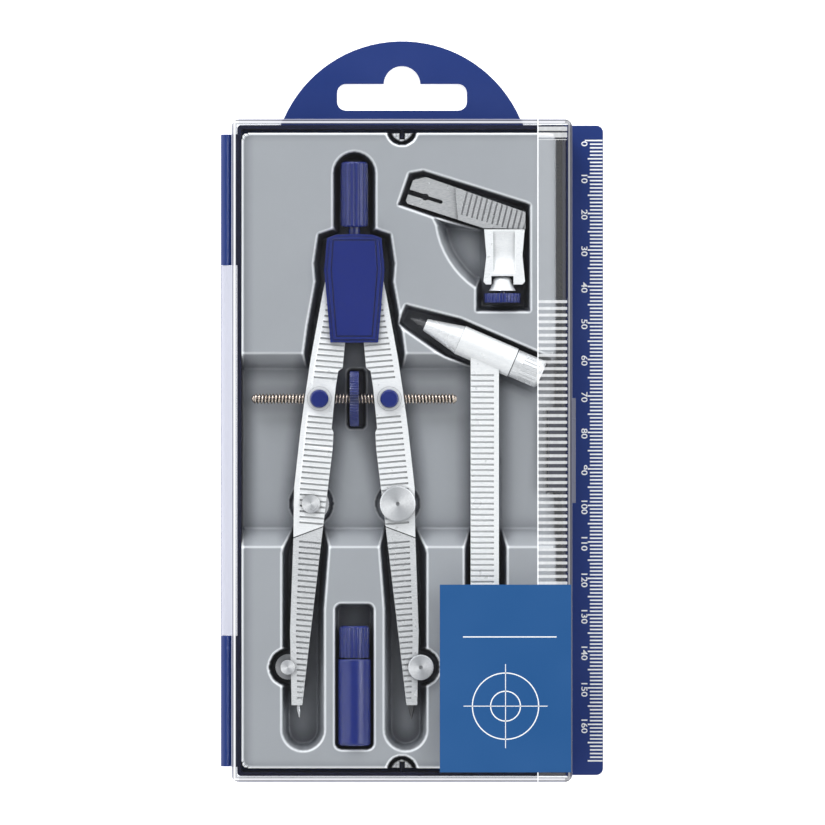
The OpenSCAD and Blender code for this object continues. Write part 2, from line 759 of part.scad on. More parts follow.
// Bell that the knob presses against the frame
module adapter_cone() {
    profile = [[1.05, 0], [3.7, 0], [3.2, 0.8], [2.75, 2.1], [2.5, 3], [1.9, 3.7], [1.05, 3.8]];
    color(nickel) translate([adapter_x, 43.5, mid_z]) rotate([-90, 0, 0])
        rotate_extrude() polygon(profile);
}

module adapter_knob() {
    color(compass_blue) translate([0, 0, mid_z]) difference() {
        union() {
            rod([adapter_x, 40.3], [adapter_x, 42.8], 0, 4.9, 4.9);
            rod([adapter_x, 42.7], [adapter_x, 49.4], 0, 1, 1);
        }
        for (a = [0:12:348])
            translate([adapter_x, 0, 0]) rotate([0, a, 0]) translate([0, 40, 4.95]) rotate([0, 45, 0])
                cube([0.36, 3, 0.36]);
    }
}

// ---- Lead box ----

module lead_box_body() {
    color(compass_blue) translate([ax, 0, mid_z]) difference() {
        union() {
            rod([0, box_foot + 0.5], [0, box_split - 0.4], 0, box_r, box_r);
            rod([0, box_foot], [0, box_foot + 0.5], 0, box_r - 0.5, box_r);
            rod([0, box_split - 0.5], [0, box_split + 4.4], 0, 3.2, 3.2);
        }
        rod([0, box_foot + 1], [0, box_split + 5], 0, 2.6, 2.6);
    }
}

module lead_box_cap() {
    color(compass_blue) translate([ax, 0, mid_z]) difference() {
        union() {
            rod([0, box_split], [0, box_top - 0.5], 0, 4.1, 4.1);
            rod([0, box_top - 0.5], [0, box_top], 0, 4.1, 3.6);
        }
        rod([0, box_split - 1], [0, box_split + 4.6], 0, 3.2 + run_gap, 3.2 + run_gap);
        for (a = [0:15:345])
            rotate([0, a, 0]) translate([0, box_split - 1, 4.3]) rotate([-90, 0, 0])
                cylinder(r = 0.4, h = 12, $fn = 24);
    }
}

module spare_leads() {
    color(graphite) translate([ax, 0, mid_z - 1.1]) for (x = [-1.05, 1.05])
        rod([x, box_foot + 1.2], [x, box_split + 2], 0, lead_r, lead_r);
}

base_shell();
insert_tray();
lid();
lid_label();
compass_handle();
head_yoke();
head_pins();
head_cover_front();
head_cover_back();
left_upper_leg();
right_upper_leg();
left_lower_leg();
right_lower_leg();
left_nut_block();
right_nut_block();
left_button();
right_button();
left_button_spring();
right_button_spring();
spindle();
centre_wheel();
left_knee_screw();
right_knee_screw();
left_tip_screw();
right_tip_screw();
needle_point();
compass_lead();
beam_bar();
beam_nose();
beam_collet();
beam_knob();
beam_lead();
adapter_arm();
adapter_frame();
adapter_cone();
adapter_knob();
lead_box_body();
lead_box_cap();
spare_leads();
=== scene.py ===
"""Drafting instrument case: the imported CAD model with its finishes, printed marks, thread and tray skin."""
import math

import bmesh
import bpy
import numpy as np
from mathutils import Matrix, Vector
from mathutils.bvhtree import BVHTree


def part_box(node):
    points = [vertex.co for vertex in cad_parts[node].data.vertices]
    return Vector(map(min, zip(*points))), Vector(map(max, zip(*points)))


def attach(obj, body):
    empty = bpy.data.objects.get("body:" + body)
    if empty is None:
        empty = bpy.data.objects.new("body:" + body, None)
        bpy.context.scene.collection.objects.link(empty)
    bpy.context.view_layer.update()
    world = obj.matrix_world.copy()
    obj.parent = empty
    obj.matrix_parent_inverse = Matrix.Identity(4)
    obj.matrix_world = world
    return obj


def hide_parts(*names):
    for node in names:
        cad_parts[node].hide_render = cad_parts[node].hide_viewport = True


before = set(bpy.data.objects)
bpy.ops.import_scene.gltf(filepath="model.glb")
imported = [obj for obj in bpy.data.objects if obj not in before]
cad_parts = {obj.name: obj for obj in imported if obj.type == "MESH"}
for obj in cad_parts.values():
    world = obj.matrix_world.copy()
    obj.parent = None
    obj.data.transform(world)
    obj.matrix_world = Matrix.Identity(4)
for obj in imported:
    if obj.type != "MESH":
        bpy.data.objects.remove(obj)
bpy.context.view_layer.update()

MM = 0.001
GRIP_LEFT = 36.8 * MM      # the lid's grip band, with ribs below GRIP_TOP and above GRIP_UPPER
GRIP_RIGHT = 45.0 * MM
GRIP_TOP = 41.8 * MM
GRIP_UPPER = 84.4 * MM
GRIP_PITCH = 1.82 * MM
GRIP_FIRST = 41.375 * MM   # middle of the first groove


# ---------------------------------------------------------------- materials

def new_material(name):
    """An empty node material: (material, nodes, links, Principled shader)."""
    mat = bpy.data.materials.new(name)
    mat.use_nodes = True
    nodes, links = mat.node_tree.nodes, mat.node_tree.links
    return mat, nodes, links, nodes["Principled BSDF"]


def noise(nodes, links, coords, scale, detail=3.0, stretch=(1, 1, 1)):
    """Noise in object space, with scale in cycles per metre."""
    mapping = nodes.new("ShaderNodeMapping")
    mapping.inputs["Scale"].default_value = stretch
    links.new(coords.outputs["Object"], mapping.inputs["Vector"])
    tex = nodes.new("ShaderNodeTexNoise")
    tex.inputs["Scale"].default_value = scale
    tex.inputs["Detail"].default_value = detail
    links.new(mapping.outputs["Vector"], tex.inputs["Vector"])
    return tex


def remap(nodes, links, value, low, high):
    """Maps a 0 to 1 value to the range low to high."""
    node = nodes.new("ShaderNodeMapRange")
    node.inputs["To Min"].default_value = low
    node.inputs["To Max"].default_value = high
    links.new(value, node.inputs["Value"])
    return node.outputs["Result"]


def blend_colours(nodes, links, value, first, second):
    """A colour that goes from first to second as value goes from 0 to 1: each is a socket or a colour."""
    node = nodes.new("ShaderNodeMix")
    node.data_type = "RGBA"
    for slot, colour in ((node.inputs[6], first), (node.inputs[7], second)):
        if isinstance(colour, tuple):
            slot.default_value = (*colour, 1)
        else:
            links.new(colour, slot)
    links.new(value, node.inputs[0])
    return node.outputs[2]


def parts_of(mat):
    """A finished material's nodes, links and shader, and the socket its colour comes from."""
    nodes, links = mat.node_tree.nodes, mat.node_tree.links
    shader = nodes["Principled BSDF"]
    return nodes, links, shader, shader.inputs["Base Color"].links[0].from_socket


def object_place(nodes, links):
    """X, Y and Z in the object's own space, which is the shared frame."""
    place = nodes.new("ShaderNodeSeparateXYZ")
    links.new(nodes.new("ShaderNodeTexCoord").outputs["Object"], place.inputs["Vector"])
    return place.outputs


def maths(nodes, links, operation, first, second=0.0):
    """A Math node: each input is a socket or a number."""
    node = nodes.new("ShaderNodeMath")
    node.operation = operation
    for slot, value in zip(node.inputs, (first, second)):
        if isinstance(value, (int, float)):
            slot.default_value = value
        else:
            links.new(value, slot)
    return node.outputs["Value"]


def rises(nodes, links, value, at, blur=0.06 * MM):
    """Goes from 0 to 1 as value passes at."""
    node = nodes.new("ShaderNodeMapRange")
    node.interpolation_type = "SMOOTHSTEP"
    node.inputs["From Min"].default_value = at - blur
    node.inputs["From Max"].default_value = at + blur
    links.new(value, node.inputs["Value"])
    return node.outputs["Result"]


def line_at(nodes, links, value, at, half_width):
    """1 where value is within half_width of at, else 0."""
    off = maths(nodes, links, "ABSOLUTE", maths(nodes, links, "SUBTRACT", value, at))
    return maths(nodes, links, "LESS_THAN", off, half_width)


def add_bump(nodes, links, shader, height, strength, distance):
    """Lets a height drive the shader's normal; distance is the bump's depth in metres."""
    bump = nodes.new("ShaderNodeBump")
    bump.inputs["Strength"].default_value = strength
    bump.inputs["Distance"].default_value = distance
    links.new(height, bump.inputs["Height"])
    links.new(bump.outputs["Normal"], shader.inputs["Normal"])


def moulded_plastic(name, colour, second, rough, grain_scale, grain, coat=0.0):
    """Moulded plastic: a slow drift of colour, a fine grain in the surface, and uneven gloss."""
    mat, nodes, links, shader = new_material(name)
    coords = nodes.new("ShaderNodeTexCoord")
    slow = noise(nodes, links, coords, 45, 2)
    fine = noise(nodes, links, coords, grain_scale, 4)
    drift = slow.outputs["Fac"]
    links.new(blend_colours(nodes, links, drift, colour, second), shader.inputs["Base Color"])
    links.new(remap(nodes, links, drift, rough - 0.06, rough + 0.08), shader.inputs["Roughness"])
    shader.inputs["Specular IOR Level"].default_value = 0.5
    shader.inputs["Coat Weight"].default_value = coat
    shader.inputs["Coat Roughness"].default_value = 0.15
    add_bump(nodes, links, shader, fine.outputs["Fac"], grain, 0.00005)
    return mat


def shade_corners(mat, reach, power, own=False):
    """Paints shade into a material's colour where surfaces within reach close it in.

    With own set, only surfaces of the same piece count.
    """
    nodes, links, shader, base = parts_of(mat)
    shadow = (0.012, 0.015, 0.03)
    closed = nodes.new("ShaderNodeAmbientOcclusion")
    closed.inputs["Distance"].default_value = reach
    closed.samples = 8
    closed.only_local = own
    open_part = maths(nodes, links, "POWER", closed.outputs["AO"], power)
    links.new(blend_colours(nodes, links, open_part, shadow, base), shader.inputs["Base Color"])


def brighten_lips(mat, colour, right):
    """Paints highlights, with a faint glow, along a fine mesh's outward edges, as far as X = right.

    The painted highlights on the lips of the wells in the low level stay duller.
    """
    nodes, links, shader, base = parts_of(mat)
    geometry = nodes.new("ShaderNodeNewGeometry")
    ramp = nodes.new("ShaderNodeMapRange")
    ramp.inputs["From Min"].default_value = 0.507
    ramp.inputs["From Max"].default_value = 0.56
    links.new(geometry.outputs["Pointiness"], ramp.inputs["Value"])
    x, y, z = object_place(nodes, links)
    lit = maths(nodes, links, "LESS_THAN", x, right)
    edge = maths(nodes, links, "MULTIPLY", ramp.outputs["Result"], lit)
    high = rises(nodes, links, z, 10 * MM, 2 * MM)
    edge = maths(nodes, links, "MULTIPLY", edge, remap(nodes, links, high, 0.3, 1.0))
    links.new(blend_colours(nodes, links, edge, base, colour), shader.inputs["Base Color"])
    # painted glow: the lips give off a little light of their own
    shader.inputs["Emission Color"].default_value = (*colour, 1)
    links.new(maths(nodes, links, "MULTIPLY", edge, 0.12), shader.inputs["Emission Strength"])


def plated_metal(name, dark, bright, rough, stretch=(1, 1, 1), metallic=0.7):
    """Satin plated metal: fine streaks along one way, uneven polish, and painted shade in the corners."""
    mat, nodes, links, shader = new_material(name)
    coords = nodes.new("ShaderNodeTexCoord")
    streaks = noise(nodes, links, coords, 1800, 4, stretch)
    slow = noise(nodes, links, coords, 220, 2)
    uneven = nodes.new("ShaderNodeMapRange")
    uneven.inputs["From Min"].default_value = 0.35
    uneven.inputs["From Max"].default_value = 0.60
    links.new(streaks.outputs["Fac"], uneven.inputs["Value"])
    colour = blend_colours(nodes, links, uneven.outputs["Result"], dark, bright)
    links.new(colour, shader.inputs["Base Color"])
    shader.inputs["Metallic"].default_value = metallic
    polish = remap(nodes, links, slow.outputs["Fac"], rough - 0.05, rough + 0.08)
    links.new(polish, shader.inputs["Roughness"])
    add_bump(nodes, links, shader, streaks.outputs["Fac"], 0.3, 0.00002)
    shade_corners(mat, 1.0 * MM, 0.8)
    return mat


def dim_inside(mat, half_width, height):
    """Paints shade over the parts above a height and within half_width of the middle, which the lid shuts in.
    """
    nodes, links, shader, base = parts_of(mat)
    x, y, z = object_place(nodes, links)
    off_middle = maths(nodes, links, "ABSOLUTE", x)
    above = maths(nodes, links, "GREATER_THAN", z, height)
    inside = maths(nodes, links, "LESS_THAN", off_middle, half_width)
    inside = maths(nodes, links, "MULTIPLY", inside, above)
    # painted shade colour for the base inside the lid
    painted_shade = (0.001, 0.002, 0.018)
    links.new(blend_colours(nodes, links, inside, base, painted_shade), shader.inputs["Base Color"])


def turned(mat):
    """A lathe's rings round a piece's Z axis, with highlights stretched across them, and painted light and
    dark fans in the colour.
    """
    nodes, links, shader, base = parts_of(mat)
    middle = nodes.new("ShaderNodeMapping")
    middle.inputs["Location"].default_value = (-0.5, -0.5, 0)
    links.new(nodes.new("ShaderNodeTexCoord").outputs["Generated"], middle.inputs["Vector"])
    angle = nodes.new("ShaderNodeTexGradient")
    angle.gradient_type = "RADIAL"
    links.new(middle.outputs["Vector"], angle.inputs["Vector"])
    # painted light and dark fans: the colour swings with the angle round the axis
    two_turns = maths(nodes, links, "MULTIPLY", angle.outputs["Fac"], 4 * math.pi)
    fans = maths(nodes, links, "SINE", maths(nodes, links, "ADD", two_turns, 0.9))
    fan_depth = 0.38
    fan_shade = (0.38, 0.39, 0.41)
    fans = maths(nodes, links, "MULTIPLY", fans, fan_depth)
    fans = maths(nodes, links, "ADD", fans, 1 - fan_depth)
    links.new(blend_colours(nodes, links, fans, fan_shade, base), shader.inputs["Base Color"])
    rings = nodes.new("ShaderNodeTangent")
    rings.direction_type = "RADIAL"
    rings.axis = "Z"
    shader.inputs["Anisotropic"].default_value = 0.85
    links.new(rings.outputs["Tangent"], shader.inputs["Tangent"])


def clear_plastic(name, half_width, half_length, top):
    """Clear polystyrene, with painted light and shade lines along its rim and painted highlights on its grip
    ribs; the rest is see-through.

    Light that lands on the instruments passes straight through it.
    """
    mat, nodes, links, shader = new_material(name)
    nodes.remove(shader)
    coords = nodes.new("ShaderNodeTexCoord")
    facing = nodes.new("ShaderNodeSeparateXYZ")
    links.new(coords.outputs["Normal"], facing.inputs["Vector"])
    x, y, z = object_place(nodes, links)
    up = rises(nodes, links, facing.outputs["Z"], 0.5, 0.3)
    scuffs = noise(nodes, links, coords, 900, 5, (1, 0.15, 1))

    across = maths(nodes, links, "SUBTRACT", half_width, maths(nodes, links, "ABSOLUTE", x))
    along = maths(nodes, links, "SUBTRACT", half_length, maths(nodes, links, "ABSOLUTE", y))
    inward = maths(nodes, links, "MINIMUM", across, along)
    rim = nodes.new("ShaderNodeValToRGB")
    rim_reach = 2 * MM
    links.new(maths(nodes, links, "DIVIDE", inward, rim_reach), rim.inputs["Fac"])
    # painted light and shade lines along the lid's rim, where its walls are seen from above
    wall_edge_highlight = (0.50, 0.51, 0.62)
    shaded_line = (0.09, 0.09, 0.12)
    bright_line = (0.88, 0.89, 0.94)
    inner_shade = (0.05, 0.055, 0.07)
    clear = (0.02, 0.02, 0.04)
    # how far in across the rim, the painted light and shade it shows there, and how solidly
    stops = [(0.00, wall_edge_highlight, 0.8), (0.12, wall_edge_highlight, 0.8),
             (0.15, shaded_line, 0.85), (0.25, shaded_line, 0.85),
             (0.29, bright_line, 0.9), (0.52, bright_line, 0.9),
             (0.60, inner_shade, 0.7), (0.95, clear, 0.0)]
    ramp = rim.color_ramp
    while len(ramp.elements) < len(stops):
        ramp.elements.new(0.5)
    for element, (position, colour, strength) in zip(ramp.elements, stops):
        element.position = position
        element.color = (*colour, strength)

    band = maths(nodes, links, "MULTIPLY", rises(nodes, links, x, GRIP_LEFT),
                 maths(nodes, links, "SUBTRACT", 1.0, rises(nodes, links, x, GRIP_RIGHT)))
    lower_ribs = maths(nodes, links, "SUBTRACT", 1.0, rises(nodes, links, y, GRIP_TOP))
    ribbed = maths(nodes, links, "MAXIMUM", lower_ribs, rises(nodes, links, y, GRIP_UPPER))
    from_first = maths(nodes, links, "SUBTRACT", y, GRIP_FIRST)
    from_groove = maths(nodes, links, "PINGPONG", from_first, GRIP_PITCH / 2)
    crest = maths(nodes, links, "MAXIMUM", rises(nodes, links, from_groove, 0.5 * MM, 0.1 * MM),
                  rises(nodes, links, y, GRIP_UPPER))
    ridge = maths(nodes, links, "MULTIPLY", rises(nodes, links, z, top - 0.1 * MM, 0.05 * MM), ribbed)
    ridge = maths(nodes, links, "MULTIPLY", ridge, crest)
    ridge = maths(nodes, links, "MULTIPLY", ridge, remap(nodes, links, scuffs.outputs["Fac"], 0.42, 0.64))
    # painted highlight: a bright line down the grip band's left edge
    border = line_at(nodes, links, x, GRIP_LEFT + 0.15 * MM, 0.14 * MM)
    veil = 0.06          # how much the whole grip band clouds what is under it
    haze_and_highlight = maths(nodes, links, "MAXIMUM", veil, maths(nodes, links, "MAXIMUM", ridge, border))
    haze_and_highlight = maths(nodes, links, "MULTIPLY", haze_and_highlight, band)
    # painted highlight: a bright line along the thumb tab's edge
    thumb = line_at(nodes, links, x, half_width + 0.75 * MM, 0.12 * MM)
    haze_and_highlight = maths(nodes, links, "MAXIMUM", haze_and_highlight, maths(nodes, links, "MULTIPLY", thumb, 0.7))
    strength = maths(nodes, links, "MAXIMUM", haze_and_highlight, rim.outputs["Alpha"])
    strength = maths(nodes, links, "MULTIPLY", up, strength)

    # painted light: the rim is lighter on the left side and darker on the right
    left_side = maths(nodes, links, "LESS_THAN", x, -half_width + rim_reach)
    right_side = maths(nodes, links, "GREATER_THAN", x, half_width - rim_reach)
    more_left = maths(nodes, links, "MULTIPLY", left_side, 0.20)
    rim_light = maths(nodes, links, "ADD", 0.70, more_left)
    less_right = maths(nodes, links, "MULTIPLY", right_side, 0.38)
    rim_light = maths(nodes, links, "SUBTRACT", rim_light, less_right)
    rim_colour = nodes.new("ShaderNodeVectorMath")
    rim_colour.operation = "SCALE"
    links.new(rim.outputs["Color"], rim_colour.inputs[0])
    links.new(rim_light, rim_colour.inputs["Scale"])
    on_ribs = maths(nodes, links, "GREATER_THAN", haze_and_highlight, rim.outputs["Alpha"])
    # painted highlight on the grip ribs, over the band's light haze
    rib_haze_and_highlight = (0.93, 0.95, 0.97)
    haze_and_painted_lines = nodes.new("ShaderNodeBsdfDiffuse")
    tint = blend_colours(nodes, links, on_ribs, rim_colour.outputs["Vector"], rib_haze_and_highlight)
    links.new(tint, haze_and_painted_lines.inputs["Color"])
    glass = nodes.new("ShaderNodeBsdfGlass")
    glass.inputs["IOR"].default_value = 1.5
    glass.inputs["Color"].default_value = (0.97, 0.985, 0.99, 1)
    links.new(remap(nodes, links, scuffs.outputs["Fac"], 0.0, 0.02), glass.inputs["Roughness"])
    body = nodes.new("ShaderNodeMixShader")
    links.new(strength, body.inputs["Fac"])
    links.new(glass.outputs["BSDF"], body.inputs[1])
    links.new(haze_and_painted_lines.outputs["BSDF"], body.inputs[2])

    path = nodes.new("ShaderNodeLightPath")
    unseen = maths(nodes, links, "MAXIMUM", path.outputs["Is Shadow Ray"], path.outputs["Is Diffuse Ray"])
    unseen = maths(nodes, links, "MAXIMUM", unseen, path.outputs["Is Glossy Ray"])
    through = nodes.new("ShaderNodeBsdfTransparent")
    through.inputs["Color"].default_value = (0.96, 0.965, 0.97, 1)
    final = nodes.new("ShaderNodeMixShader")
    links.new(unseen, final.inputs["Fac"])
    links.new(body.outputs["Shader"], final.inputs[1])
    links.new(through.outputs["BSDF"], final.inputs[2])
    links.new(final.outputs["Shader"], nodes["Material Output"].inputs["Surface"])
    return mat


def printed_ink(name, colour, rough=0.45):
    """Printed ink: a colour that thins a little, over a surface with the print's faint texture."""
    mat, nodes, links, shader = new_material(name)
    coords = nodes.new("ShaderNodeTexCoord")
    speckle = noise(nodes, links, coords, 4000, 2)
    thin = tuple(0.93 * c for c in colour)
    ink = blend_colours(nodes, links, speckle.outputs["Fac"], thin, colour)
    links.new(ink, shader.inputs["Base Color"])
    shader.inputs["Roughness"].default_value = rough
    add_bump(nodes, links, shader, speckle.outputs["Fac"], 0.1, 0.00001)
    return mat


NAVY = moulded_plastic("navy_plastic", (0.008, 0.027, 0.150), (0.012, 0.034, 0.174), 0.34, 2600, 0.08)
BLUE = moulded_plastic("blue_plastic", (0.008, 0.018, 0.150), (0.013, 0.025, 0.178), 0.22, 3200, 0.03, 0.35)
# painted shade on the base's wall and gap under the lid
dim_inside(NAVY, 45.2 * MM, 3 * MM)
# painted shade in the blue pieces' corners
shade_corners(BLUE, 0.8 * MM, 1.5)
TRAY = moulded_plastic("tray_plastic", (0.330, 0.343, 0.364), (0.356, 0.369, 0.390), 0.38, 3000, 0.18)
# painted shade: from the tray's own walls deep in its wells, then near anything close by
shade_corners(TRAY, 12 * MM, 0.55, True)
shade_corners(TRAY, 5 * MM, 1.7)
# painted highlights and a faint painted glow along the tray's lips
brighten_lips(TRAY, (0.93, 0.94, 0.96), 41.2 * MM)
STREAKS = (0.5, 2.5, 1)    # the plating's streaks are drawn out along X
NICKEL = plated_metal("nickel_plate", (0.91, 0.92, 0.93), (1.0, 1.0, 1.0), 0.28, STREAKS, 0.2)
# a darker copy of the nickel plate: painted shade
SHADED_NICKEL = plated_metal("shaded_nickel", (0.76, 0.77, 0.78), (0.92, 0.92, 0.93), 0.26, STREAKS, 0.4)
# a still darker copy of the nickel plate: painted shade on the adapter arm
DEEP_SHADED_NICKEL = plated_metal("deep_shaded_nickel", (0.56, 0.57, 0.58), (0.70, 0.70, 0.71), 0.24, STREAKS, 0.45)
# nickel for the screws, with painted light and dark fans
TURNED_NICKEL_PAINTED_FANS = plated_metal("turned_nickel_painted_fans", (0.86, 0.86, 0.87), (0.96, 0.96, 0.97), 0.28, metallic=0.4)
turned(TURNED_NICKEL_PAINTED_FANS)
STEEL = plated_metal("bright_steel", (0.70, 0.70, 0.72), (0.80, 0.80, 0.82), 0.24)
BRONZE = plated_metal("bronze_nickel", (0.56, 0.45, 0.36), (0.90, 0.78, 0.68), 0.16, metallic=0.9)
# painted shade deep in the spindle's thread
shade_corners(BRONZE, 0.6 * MM, 2.2)
GRAPHITE = moulded_plastic("graphite", (0.05, 0.05, 0.055), (0.09, 0.09, 0.095), 0.42, 5200, 0.4)
lid_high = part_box("lid")[1]
LID_HALF_WIDTH = 46.3 * MM                       # without the hinge barrel and the thumb tab
CLEAR = clear_plastic("clear_plastic", LID_HALF_WIDTH, lid_high[1], lid_high[2])
LABEL = moulded_plastic("label_print", (0.003, 0.066, 0.215), (0.006, 0.078, 0.245), 0.42, 900, 0.05)
WHITE_INK = printed_ink("white_ink", (0.88, 0.90, 0.92))


# ---------------------------------------------------------------- mesh helpers

def link(name, mesh, material, body):
    """Makes a piece from a mesh, with its finish, riding on a body."""
    piece = bpy.data.objects.new(name, mesh)
    bpy.context.scene.collection.objects.link(piece)
    mesh.materials.append(material)
    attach(piece, body)
    return piece


def mesh_of(name, points, faces, smooth=True):
    """A mesh from points and faces."""
    mesh = bpy.data.meshes.new(name)
    mesh.from_pydata(points, [], faces)
    mesh.update()
    mesh.polygons.foreach_set("use_smooth", [smooth] * len(mesh.polygons))
    return mesh


def soften(name, width, material, segments=2, angle=32):
    """Gives a CAD node its finish and a small round, width millimetres wide, on every sharp edge."""
    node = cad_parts[name]
    node.data.materials.clear()
    node.data.materials.append(material)
    weld = node.modifiers.new("weld", "WELD")
    weld.merge_threshold = 1e-6
    flat = node.modifiers.new("flatten", "DECIMATE")
    flat.decimate_type = "DISSOLVE"
    flat.angle_limit = math.radians(0.6)
    bevel = node.modifiers.new("edges", "BEVEL")
    bevel.width = width * MM
    bevel.segments = segments
    bevel.limit_method = "ANGLE"
    bevel.angle_limit = math.radians(angle)
    bevel.use_clamp_overlap = True
    normals = node.modifiers.new("normals", "WEIGHTED_NORMAL")
    normals.weight = 90
    for polygon in node.data.polygons:
        polygon.use_smooth = True


# ---------------------------------------------------------------- tray

def tray_heights(xs, ys, top):
    """The height of the CAD tray under each grid point."""
    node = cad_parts["insert_tray"]
    tree = BVHTree.FromPolygons([v.co for v in node.data.vertices],
                                [p.vertices for p in node.data.polygons])
    down = Vector((0, 0, -1))
    height = np.full((len(ys), len(xs)), np.nan)
    for r, y in enumerate(ys):
        for c, x in enumerate(xs):
            hit = tree.ray_cast(Vector((x, y, top + 0.01)), down)[0]
            if hit is not None:
                height[r, c] = hit.z
    return height


def blurred(field, width):
    """Gaussian blur of a grid, with width in grid steps."""
    reach = 4
    steps = np.arange(-reach, reach + 1)
    kernel = np.exp(-0.5 * (steps / width) ** 2)
    kernel /= kernel.sum()
    rows, columns = field.shape
    padded = np.pad(field, reach, mode="edge")
    across = sum(k * padded[:, i:i + columns] for i, k in enumerate(kernel))
    return sum(k * across[i:i + rows] for i, k in enumerate(kernel))


def edge_steps(solid):
    """Steps from each grid point to the tray's outer edge, up to 2."""
    padded = np.pad(solid, 2)
    rows, columns = solid.shape
    steps = np.full(solid.shape, 2.0)
    for reach in (2, 1):
        inside = np.ones(solid.shape, bool)
        for i in range(-reach, reach + 1):
            for j in range(-reach, reach + 1):
                inside &= padded[2 + i:2 + i + rows, 2 + j:2 + j + columns]
        steps[~inside] = reach - 1
    return steps


def tray_skin():
    """The tray's moulded sheet: the CAD tray's height on a fine grid, with every edge rolled over."""
    pitch = 0.25 * MM
    roll = 0.85          # width of the rolled edges, in grid steps
    low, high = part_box("insert_tray")
    inset = 0.01 * MM
    columns = int(round((high[0] - low[0]) / pitch)) + 1
    rows = int(round((high[1] - low[1]) / pitch)) + 1
    xs = np.linspace(low[0] + inset, high[0] - inset, columns)
    ys = np.linspace(low[1] + inset, high[1] - inset, rows)
    height = tray_heights(xs, ys, high[2])
    solid = ~np.isnan(height)
    rim = edge_steps(solid)
    drop = 0.5 * MM * np.clip(1 - rim / 2, 0, 1) ** 2
    share = np.maximum(blurred(solid.astype(float), roll), 1e-6)
    field = blurred(np.where(solid, height, 0), roll) / share - drop
    number = np.full(solid.shape, -1)
    number[solid] = np.arange(solid.sum())
    points = [(xs[c], ys[r], field[r, c]) for r, c in zip(*np.nonzero(solid))]
    a, b = number[:-1, :-1], number[:-1, 1:]
    c, d = number[1:, 1:], number[1:, :-1]
    whole = (a >= 0) & (b >= 0) & (c >= 0) & (d >= 0)
    quads = np.stack([a[whole], b[whole], c[whole], d[whole]], axis=1).tolist()
    mesh = mesh_of("tray_skin", points, quads)
    bm = bmesh.new()
    bm.from_mesh(mesh)
    bmesh.ops.delete(bm, geom=[v for v in bm.verts if not v.link_faces], context="VERTS")
    edge = [e for e in bm.edges if e.is_boundary]
    skirt = bmesh.ops.extrude_edge_only(bm, edges=edge)["geom"]
    for vert in (g for g in skirt if isinstance(g, bmesh.types.BMVert)):
        vert.co.z = low[2]
    bmesh.ops.holes_fill(bm, edges=[e for e in bm.edges if e.is_boundary], sides=0)
    bmesh.ops.recalc_face_normals(bm, faces=bm.faces)
    bm.to_mesh(mesh)
    bm.free()
    piece = link("tray_skin", mesh, TRAY, "case")
    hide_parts("insert_tray")


tray_skin()


# ---------------------------------------------------------------- spindle

def threaded_spindle():
    """The compass's spindle, with a right-hand thread on one half and a left-hand one on the other."""
    low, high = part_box("spindle")
    y = (low[1] + high[1]) / 2
    z = (low[2] + high[2]) / 2
    middle = (low[0] + high[0]) / 2
    crest = (high[2] - low[2]) / 2
    root = crest - 0.5 * MM
    pitch = 0.92 * MM
    around = 24
    step = pitch / 10
    count = int((high[0] - low[0]) / step)
    chamfer = 0.9 * MM
    chamfer_drop = 0.8 * MM
    points = []
    for i in range(count + 1):
        x = low[0] + (high[0] - low[0]) * i / count
        hand = 1 if x > middle else -1
        end = min(x - low[0], high[0] - x)
        for j in range(around):
            a = 2 * math.pi * j / around
            turn = (hand * (x - middle) / pitch - a / (2 * math.pi)) % 1
            wave = 0.5 + 0.5 * math.cos(2 * math.pi * turn)
            radius = root + (crest - root) * min(1, 1.25 * wave)
            radius = min(radius, crest - chamfer_drop * (1 - min(1, end / chamfer)))
            points.append((x, y + radius * math.cos(a), z + radius * math.sin(a)))
    faces = [(i * around + j, i * around + (j + 1) % around,
              (i + 1) * around + (j + 1) % around, (i + 1) * around + j)
             for i in range(count) for j in range(around)]
    faces.append(tuple(range(around))[::-1])
    faces.append(tuple(count * around + j for j in range(around)))
    piece = link("spindle_thread", mesh_of("spindle_thread", points, faces), BRONZE, "spindle")
    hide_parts("spindle")


threaded_spindle()


# ---------------------------------------------------------------- printed marks

def printed_boxes(name, boxes, thickness, z, body):
    """Thin raised ink: a flat box for each (x0, y0, x1, y1)."""
    bm = bmesh.new()
    for x0, y0, x1, y1 in boxes:
        corners = [(x0, y0), (x1, y0), (x1, y1), (x0, y1)]
        top = [bm.verts.new((x, y, z + thickness)) for x, y in corners]
        foot = [bm.verts.new((x, y, z)) for x, y in corners]
        bm.faces.new(top)
        bm.faces.new(foot[::-1])
        for i in range(4):
            j = (i + 1) % 4
            bm.faces.new((foot[i], foot[j], top[j], top[i]))
    mesh = bpy.data.meshes.new(name)
    bm.to_mesh(mesh)
    bm.free()
    return link(name, mesh, WHITE_INK, body)


INK = 0.02 * MM
base_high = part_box("base_shell")[1]
PLATE_TOP = 1.6 * MM
RULER_EDGE = base_high[0] - 0.1 * MM
RULER_ZERO = 84.9 * MM


